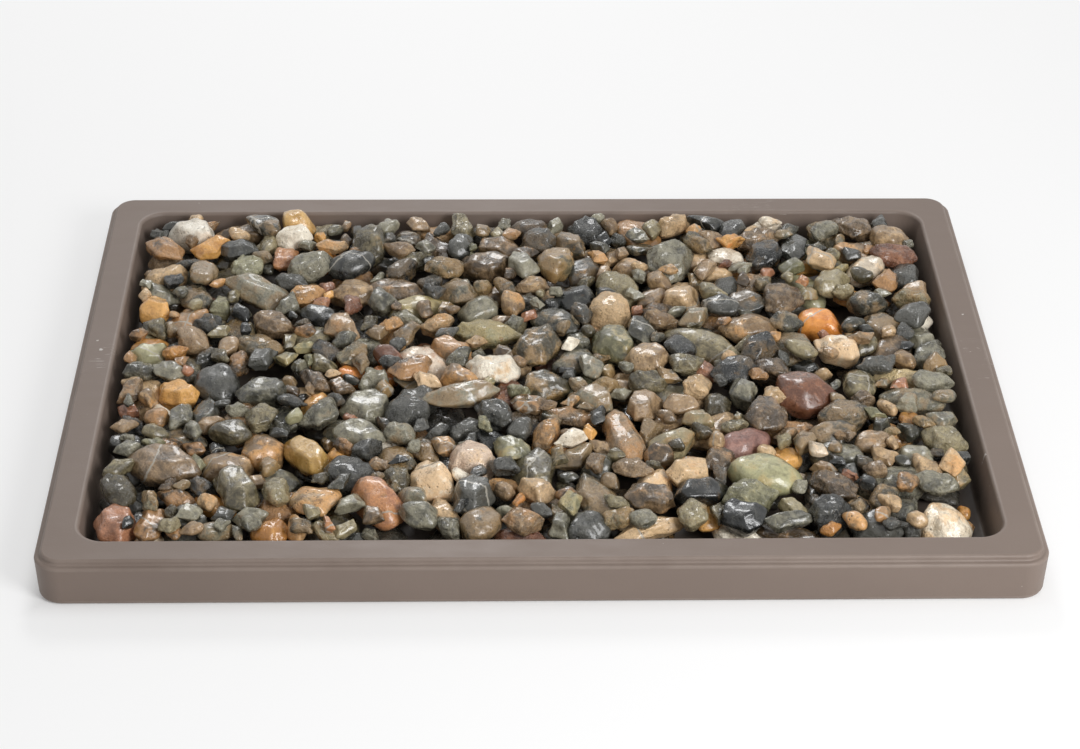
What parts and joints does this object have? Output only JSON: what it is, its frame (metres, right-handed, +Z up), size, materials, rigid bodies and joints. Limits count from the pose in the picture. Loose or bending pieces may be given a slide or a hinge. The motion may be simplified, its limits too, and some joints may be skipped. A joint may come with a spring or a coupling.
{
  "type": "pebble humidity tray",
  "caption": "Shallow rectangular tray with a broad stepped rim, filled level with loose river pebbles, to stand plant pots on above water.",
  "frame": {"origin": "centre of the tray's footprint, on the surface it stands on", "axes": "+X along the long side, to the right as seen from the front; +Y to the back; +Z up"},
  "size_m": [0.33, 0.24, 0.0224],
  "materials": {
    "tray_plastic": "satin moulded plastic, warm grey-brown, fine grain and faint scuffs",
    "lower_stone": "damp mixed river stone in the shade of the layer above",
    "slate_stone": "wet grey slate with soft banding",
    "charcoal_stone": "wet near-black stone, a few with thin pale veins",
    "olive_stone": "wet olive-grey stone",
    "umber_stone": "wet grey-brown stone with mottling",
    "sandstone_stone": "tan sandstone with grain and soft bands",
    "amber_stone": "golden orange stone, glossy",
    "russet_stone": "red-brown stone",
    "quartz_stone": "cream quartz with warm stains, glossy",
    "sage_stone": "pale green-grey stone"
  },
  "bodies": {
    "tray": {"tray": "tray_plastic"},
    "pebbles": {"lower_pebbles_front_left": "lower_stone", "lower_pebbles_front_middle": "lower_stone", "lower_pebbles_front_right": "lower_stone", "lower_pebbles_back_left": "lower_stone", "lower_pebbles_back_middle": "lower_stone", "lower_pebbles_back_right": "lower_stone", "slate_pebbles_front_left": "slate_stone", "slate_pebbles_front_middle": "slate_stone", "slate_pebbles_front_right": "slate_stone", "slate_pebbles_back_left": "slate_stone", "slate_pebbles_back_middle": "slate_stone", "slate_pebbles_back_right": "slate_stone", "charcoal_pebbles_front_left": "charcoal_stone", "charcoal_pebbles_front_middle": "charcoal_stone", "charcoal_pebbles_front_right": "charcoal_stone", "charcoal_pebbles_back_left": "charcoal_stone", "charcoal_pebbles_back_middle": "charcoal_stone", "charcoal_pebbles_back_right": "charcoal_stone", "olive_pebbles_front_left": "olive_stone", "olive_pebbles_front_middle": "olive_stone", "olive_pebbles_front_right": "olive_stone", "olive_pebbles_back_left": "olive_stone", "olive_pebbles_back_middle": "olive_stone", "olive_pebbles_back_right": "olive_stone", "umber_pebbles_front_left": "umber_stone", "umber_pebbles_front_middle": "umber_stone", "umber_pebbles_front_right": "umber_stone", "umber_pebbles_back_left": "umber_stone", "umber_pebbles_back_middle": "umber_stone", "umber_pebbles_back_right": "umber_stone", "sandstone_pebbles_left": "sandstone_stone", "sandstone_pebbles_right": "sandstone_stone", "amber_pebbles_left": "amber_stone", "amber_pebbles_right": "amber_stone", "russet_pebbles_left": "russet_stone", "russet_pebbles_right": "russet_stone", "quartz_pebbles_left": "quartz_stone", "quartz_pebbles_right": "quartz_stone", "sage_pebbles_left": "sage_stone", "sage_pebbles_right": "sage_stone", "cream_quartz_middle_left": "quartz_stone", "long_olive_pebble": "olive_stone", "banded_slate_front_right": "slate_stone", "yellow_sandstone_right": "sandstone_stone", "pale_green_pebble_front": "sage_stone", "white_wedge_back_left": "quartz_stone", "upright_amber_back_left": "amber_stone", "rose_quartz_front": "quartz_stone", "maroon_pebble_front_right": "russet_stone"},
    "quartz_pebble": {"cream_quartz_front_right": "quartz_stone"},
    "orange_pebble": {"orange_pebble_right": "amber_stone"},
    "golden_pebble": {"golden_block_left": "amber_stone"}
  },
  "joints": [
    {"name": "pebble_lift_out", "type": "slide", "parent": "tray", "child": "pebbles", "axis": [0, 0, 1], "range_m": [0, 0.05]},
    {"name": "quartz_pebble_lift", "type": "slide", "parent": "pebbles", "child": "quartz_pebble", "axis": [0, 0, 1], "range_m": [0, 0.03]},
    {"name": "orange_pebble_lift", "type": "slide", "parent": "pebbles", "child": "orange_pebble", "axis": [0, 0, 1], "range_m": [0, 0.03]},
    {"name": "golden_pebble_lift", "type": "slide", "parent": "pebbles", "child": "golden_pebble", "axis": [0, 0, 1], "range_m": [0, 0.03]}
  ]
}
